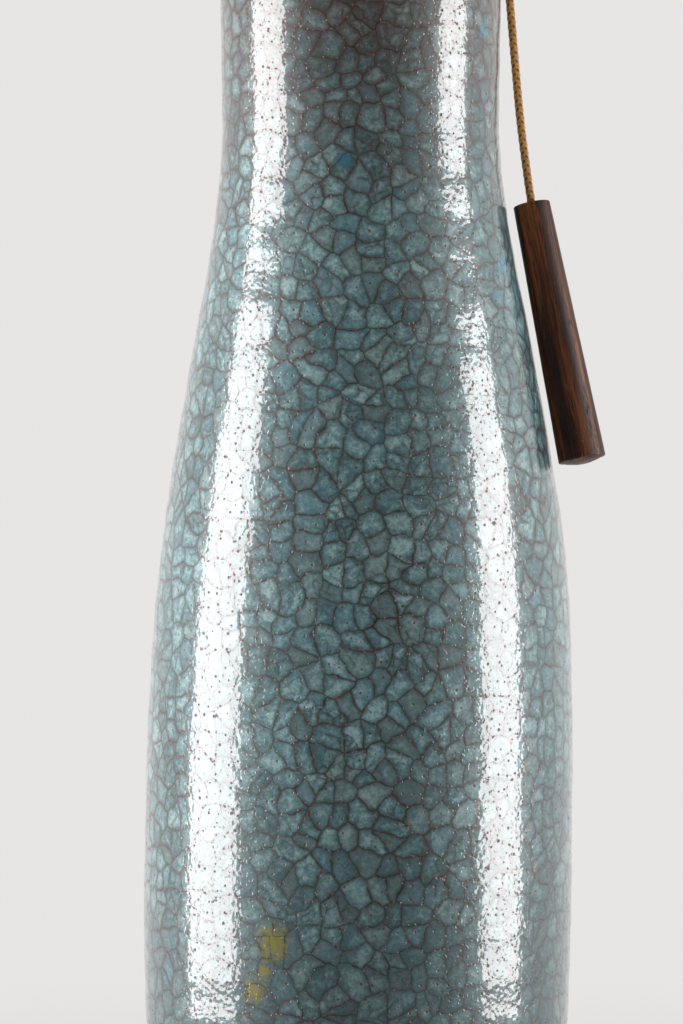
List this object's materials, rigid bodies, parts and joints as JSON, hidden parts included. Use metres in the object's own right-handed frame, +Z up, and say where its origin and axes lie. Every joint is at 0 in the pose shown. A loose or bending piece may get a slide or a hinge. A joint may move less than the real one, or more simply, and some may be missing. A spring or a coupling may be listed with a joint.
{
  "type": "ceramic table lamp",
  "caption": "Bottle-shaped crackle-glazed ceramic table lamp with a wooden pull on a cord switch, brass neck, screw lampholder and tapered linen shade.",
  "frame": {"origin": "centre of the foot, on the surface that the lamp stands on", "axes": "+Z up along the lamp's axis, +X towards the pull cord, +Y towards the lead inlet at the back"},
  "size_m": [0.3336, 0.3336, 0.625],
  "materials": {
    "felt": "matt pressed felt",
    "crackle_glaze": "glossy turquoise glaze with a dark crackle",
    "steel": "plain zinc-plated",
    "bush": "moulded phenolic",
    "steatite": "unglazed steatite",
    "brass": "satin, lightly aged",
    "lead_brown": "insulated wire",
    "lead_blue": "insulated wire",
    "cork": "pressed cork sheet",
    "dark_wood": "oiled dark hardwood",
    "bakelite": "moulded dark brown phenolic",
    "bulb_contact": "black glass",
    "bulb_glass": "clear blown glass",
    "stem_glass": "pressed glass stem",
    "filament": "coated filament",
    "fibre": "moulded fibre",
    "cord": "braided golden cord",
    "wire_white": "white lacquered wire",
    "liner": "stiff laminated lining",
    "shade_cloth": "slubbed linen",
    "shade_trim": "folded linen binding"
  },
  "bodies": {
    "base": {"foot_felt": "felt", "ceramic_body": "crackle_glaze", "base_plate": "steel", "lower_washer": "steel", "lower_nut": "steel", "threaded_rod": "steel", "lead_bush": "bush", "terminal_block": "steatite", "terminal_screws": "brass", "live_wire": "lead_brown", "neutral_wire": "lead_blue", "cap_gasket": "cork", "wooden_cap": "dark_wood", "cap_washer": "brass", "cap_nut": "brass", "neck_tube": "brass", "holder_cup": "bakelite", "switch_housing": "bakelite", "switch_cover": "bakelite", "cover_screws": "brass", "switch_contacts": "brass", "return_spring": "steel", "socket_insulator": "steatite", "socket_terminals": "brass", "centre_contact": "brass", "screw_shell": "brass", "holder_shell": "bakelite", "shade_ring": "bakelite", "bulb_cap": "brass", "bulb_contact": "bulb_contact", "bulb_glass": "bulb_glass", "bulb_stem": "stem_glass", "bulb_filaments": "filament"},
    "rotor": {"switch_rotor": "fibre", "rotor_pads": "brass"},
    "slider": {"switch_slider": "brass"},
    "link": {"link_ring": "brass"},
    "cord": {"cord_ferrule": "brass", "pull_cord": "cord"},
    "pull": {"pull_handle": "dark_wood", "pull_insert": "brass"},
    "shade": {"shade_carrier": "wire_white", "shade_top_ring": "wire_white", "shade_liner": "liner", "shade_fabric": "shade_cloth", "shade_trim_low": "shade_trim", "shade_trim_top": "shade_trim"}
  },
  "joints": [
    {"name": "switch_pull", "type": "slide", "parent": "base", "child": "slider", "axis": [0, 0, -1], "range_m": [0, 0.008], "stiffness_N_per_m": 350, "springref_m": -0.002, "deforming": ["return_spring"]},
    {"name": "rotor_turn", "type": "hinge", "parent": "base", "child": "rotor", "pos_m": [0.02551, 0, 0.4426], "axis": [0, 1, 0], "range_deg": [0, 90]},
    {"name": "cord_swing_out", "type": "hinge", "parent": "slider", "child": "link", "pos_m": [0.035, 0, 0.4256], "axis": [0, -1, 0], "range_deg": [0, 55]},
    {"name": "cord_swing_side", "type": "hinge", "parent": "link", "child": "cord", "pos_m": [0.035, 0, 0.42086], "axis": [1, 0, 0], "range_deg": [-22, 22]},
    {"name": "pull_tilt", "type": "hinge", "parent": "cord", "child": "pull", "pos_m": [0.04505, 0.0035, 0.2956], "axis": [0, -1, 0], "range_deg": [0, 25]},
    {"name": "shade_turn", "type": "hinge", "parent": "base", "child": "shade", "pos_m": [0, 0, 0.4566], "axis": [0, 0, 1], "continuous": true}
  ],
  "couplings": [
    {"joint": "rotor_turn", "follows": "switch_pull", "rad_per_m": 196.35}
  ]
}
